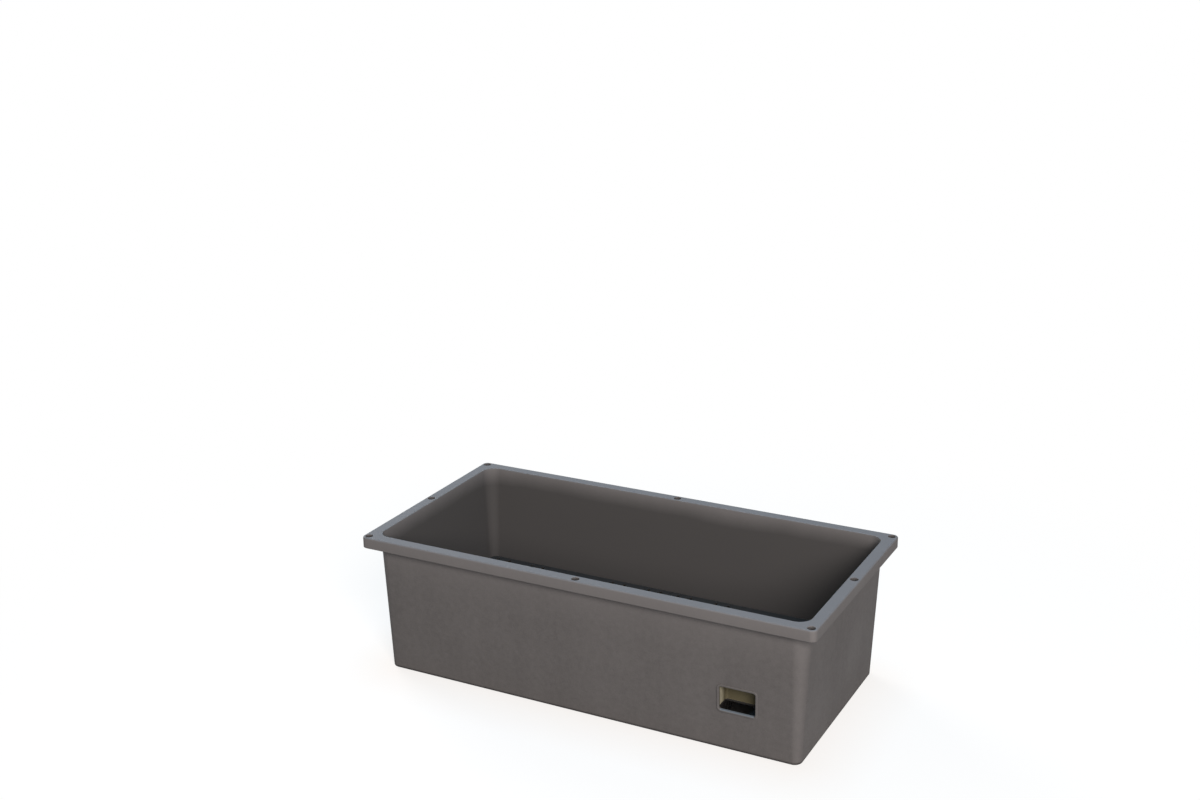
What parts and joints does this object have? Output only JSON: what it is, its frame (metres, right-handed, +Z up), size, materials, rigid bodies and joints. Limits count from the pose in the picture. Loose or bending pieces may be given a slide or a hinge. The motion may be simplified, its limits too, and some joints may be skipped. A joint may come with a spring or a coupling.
{
  "type": "self-watering planter box",
  "caption": "Long moulded planter box with a turned-down rim, a framed fill port low in the front, and a lift-out slotted platform with legs and wicking baskets over a water reservoir.",
  "frame": {"origin": "on the ground under the middle of the box", "axes": "+X along the box with the port at the +X end of the front, +Y to the back, +Z up"},
  "size_m": [0.8, 0.4, 0.245],
  "materials": {
    "box_plastic": "satin moulded, fine grain, warm charcoal grey",
    "insert_plastic": "satin moulded, near black",
    "hood_plastic": "satin moulded, khaki"
  },
  "bodies": {
    "box": {"planter_box": "box_plastic"},
    "left_insert": {"screen_left": "insert_plastic", "leg_left_1": "insert_plastic", "leg_left_2": "insert_plastic", "leg_left_3": "insert_plastic", "leg_left_4": "insert_plastic", "leg_left_5": "insert_plastic"},
    "right_insert": {"screen_right": "insert_plastic", "leg_right_1": "insert_plastic", "leg_right_2": "insert_plastic", "leg_right_3": "insert_plastic", "leg_right_4": "insert_plastic", "leg_right_5": "insert_plastic", "port_hood": "hood_plastic"},
    "left_front_basket": {"basket_left_front": "insert_plastic"},
    "left_back_basket": {"basket_left_back": "insert_plastic"},
    "right_front_basket": {"basket_right_front": "insert_plastic"},
    "right_back_basket": {"basket_right_back": "insert_plastic"}
  },
  "joints": [
    {"name": "screen_left_lift", "type": "slide", "parent": "box", "child": "left_insert", "axis": [0, 0, 1], "range_m": [0, 0.24]},
    {"name": "screen_right_lift", "type": "slide", "parent": "box", "child": "right_insert", "axis": [0, 0, 1], "range_m": [0, 0.24]},
    {"name": "basket_left_front_lift", "type": "slide", "parent": "left_insert", "child": "left_front_basket", "axis": [0, 0, 1], "range_m": [0, 0.24]},
    {"name": "basket_left_back_lift", "type": "slide", "parent": "left_insert", "child": "left_back_basket", "axis": [0, 0, 1], "range_m": [0, 0.24]},
    {"name": "basket_right_front_lift", "type": "slide", "parent": "right_insert", "child": "right_front_basket", "axis": [0, 0, 1], "range_m": [0, 0.24]},
    {"name": "basket_right_back_lift", "type": "slide", "parent": "right_insert", "child": "right_back_basket", "axis": [0, 0, 1], "range_m": [0, 0.24]}
  ]
}
